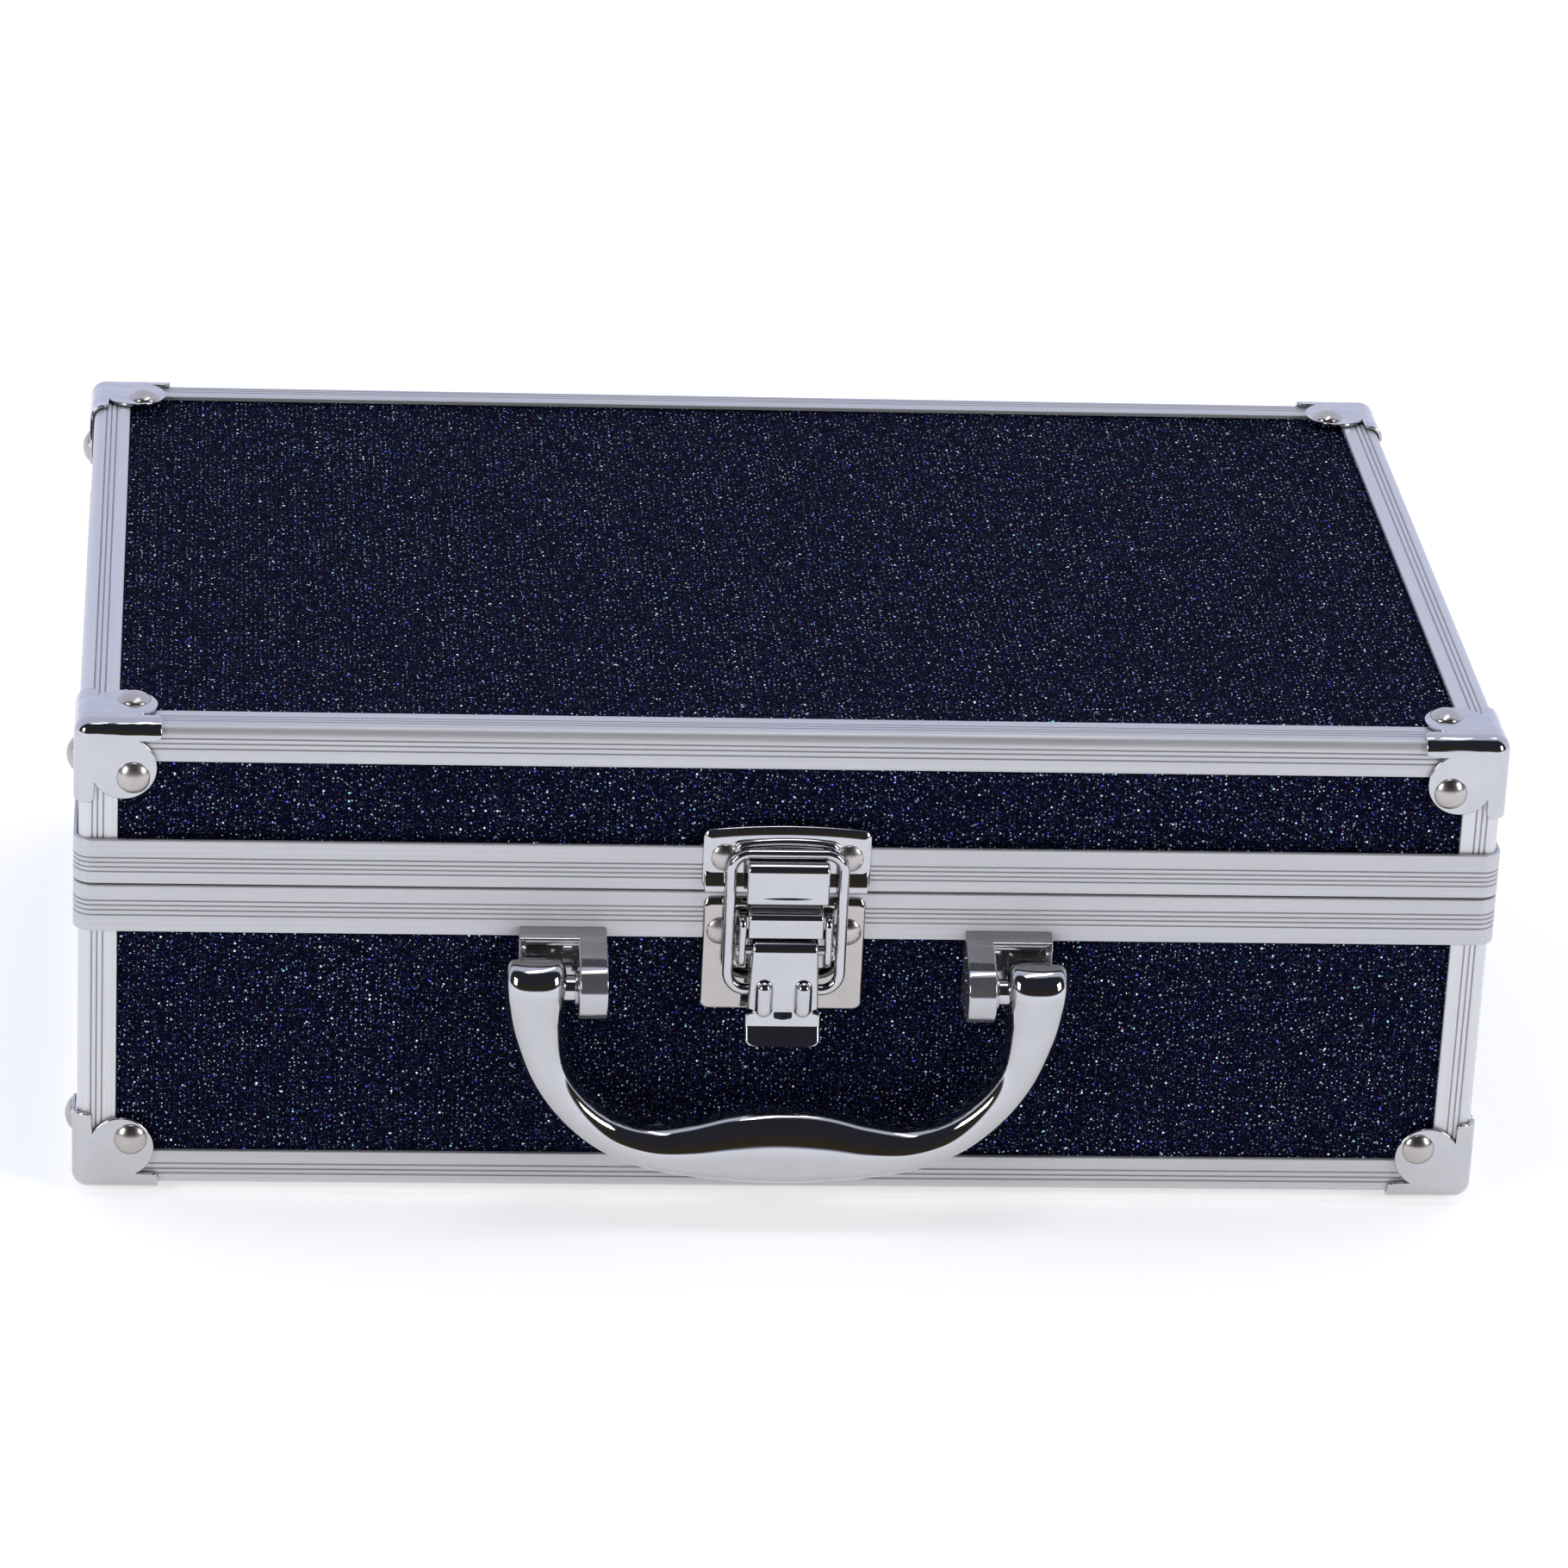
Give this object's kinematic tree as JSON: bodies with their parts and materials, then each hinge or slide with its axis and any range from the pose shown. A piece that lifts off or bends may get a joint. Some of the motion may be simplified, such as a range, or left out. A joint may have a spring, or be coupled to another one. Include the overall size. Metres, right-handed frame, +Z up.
{
  "type": "miniature carry case",
  "caption": "Small hard carry case with glitter laminate boards, aluminium rails, chrome corner caps, draw latch, swinging handle and pocketed foam for miniatures.",
  "frame": {"origin": "centre of the whole object's footprint, on the surface it stands on", "axes": "+X to the right along the case's long side, +Y towards the hinges, +Z up; latch and handle face -Y"},
  "size_m": [0.3044, 0.2214, 0.1114],
  "materials": {
    "glitter_laminate": "near-black navy laminate with fine white, blue and violet glitter over fibreboard",
    "satin_aluminium": "satin anodised aluminium extrusion with fine grooves",
    "chrome": "polished chrome plate",
    "nickel": "polished nickel plate",
    "charcoal_foam": "open-cell charcoal foam, matte"
  },
  "bodies": {
    "case_base": {"base_front_panel": "glitter_laminate", "base_front_rail": "satin_aluminium", "base_back_panel": "glitter_laminate", "base_back_rail": "satin_aluminium", "base_left_panel": "glitter_laminate", "base_left_rail": "satin_aluminium", "base_right_panel": "glitter_laminate", "base_right_rail": "satin_aluminium", "base_front_left_post": "satin_aluminium", "base_front_left_corner": "chrome", "base_front_right_post": "satin_aluminium", "base_front_right_corner": "chrome", "base_back_left_post": "satin_aluminium", "base_back_left_corner": "chrome", "base_back_right_post": "satin_aluminium", "base_back_right_corner": "chrome", "base_rim": "satin_aluminium", "base_bottom_panel": "glitter_laminate", "left_hinge_base_leaf": "nickel", "left_hinge_pin": "nickel", "latch_base_left_rivet": "nickel", "handle_left_bracket": "chrome", "handle_left_pin": "chrome", "right_hinge_base_leaf": "nickel", "right_hinge_pin": "nickel", "latch_base_right_rivet": "nickel", "handle_right_bracket": "chrome", "handle_right_pin": "chrome", "latch_base_plate": "chrome", "latch_pivot_pin": "nickel", "foam_floor_pad": "charcoal_foam", "foam_tray": "charcoal_foam"},
    "lid": {"lid_front_panel": "glitter_laminate", "lid_front_rail": "satin_aluminium", "lid_back_panel": "glitter_laminate", "lid_back_rail": "satin_aluminium", "lid_left_panel": "glitter_laminate", "lid_left_rail": "satin_aluminium", "lid_right_panel": "glitter_laminate", "lid_right_rail": "satin_aluminium", "lid_front_left_post": "satin_aluminium", "lid_front_left_corner": "chrome", "lid_front_right_post": "satin_aluminium", "lid_front_right_corner": "chrome", "lid_back_left_post": "satin_aluminium", "lid_back_left_corner": "chrome", "lid_back_right_post": "satin_aluminium", "lid_back_right_corner": "chrome", "lid_rim": "satin_aluminium", "lid_top_panel": "glitter_laminate", "left_hinge_lid_leaf": "nickel", "right_hinge_lid_leaf": "nickel", "latch_keeper": "chrome", "latch_keeper_left_rivet": "nickel", "latch_keeper_right_rivet": "nickel", "foam_lid_pad": "charcoal_foam"},
    "latch_lever": {"latch_lever": "chrome"},
    "latch_bail": {"latch_bail": "chrome"},
    "handle": {"handle": "chrome"}
  },
  "joints": [
    {"name": "lid_hinge", "type": "hinge", "parent": "case_base", "child": "lid", "pos_m": [0, 0.10865, 0.0733], "axis": [-1, 0, 0], "range_deg": [0, 100]},
    {"name": "lever_pivot", "type": "hinge", "parent": "case_base", "child": "latch_lever", "pos_m": [-0.0014, -0.10095, 0.0621], "axis": [-1, 0, 0], "range_deg": [0, 100]},
    {"name": "bail_pivot", "type": "hinge", "parent": "latch_lever", "child": "latch_bail", "pos_m": [-0.0014, -0.10095, 0.0529], "axis": [-1, 0, 0], "range_deg": [-100, 0]},
    {"name": "handle_swing", "type": "hinge", "parent": "case_base", "child": "handle", "pos_m": [-0.0008, -0.10405, 0.0542], "axis": [-1, 0, 0], "range_deg": [0, 95]}
  ],
  "couplings": [
    {"joint": "bail_pivot", "follows": "lever_pivot", "ratio": -1}
  ]
}
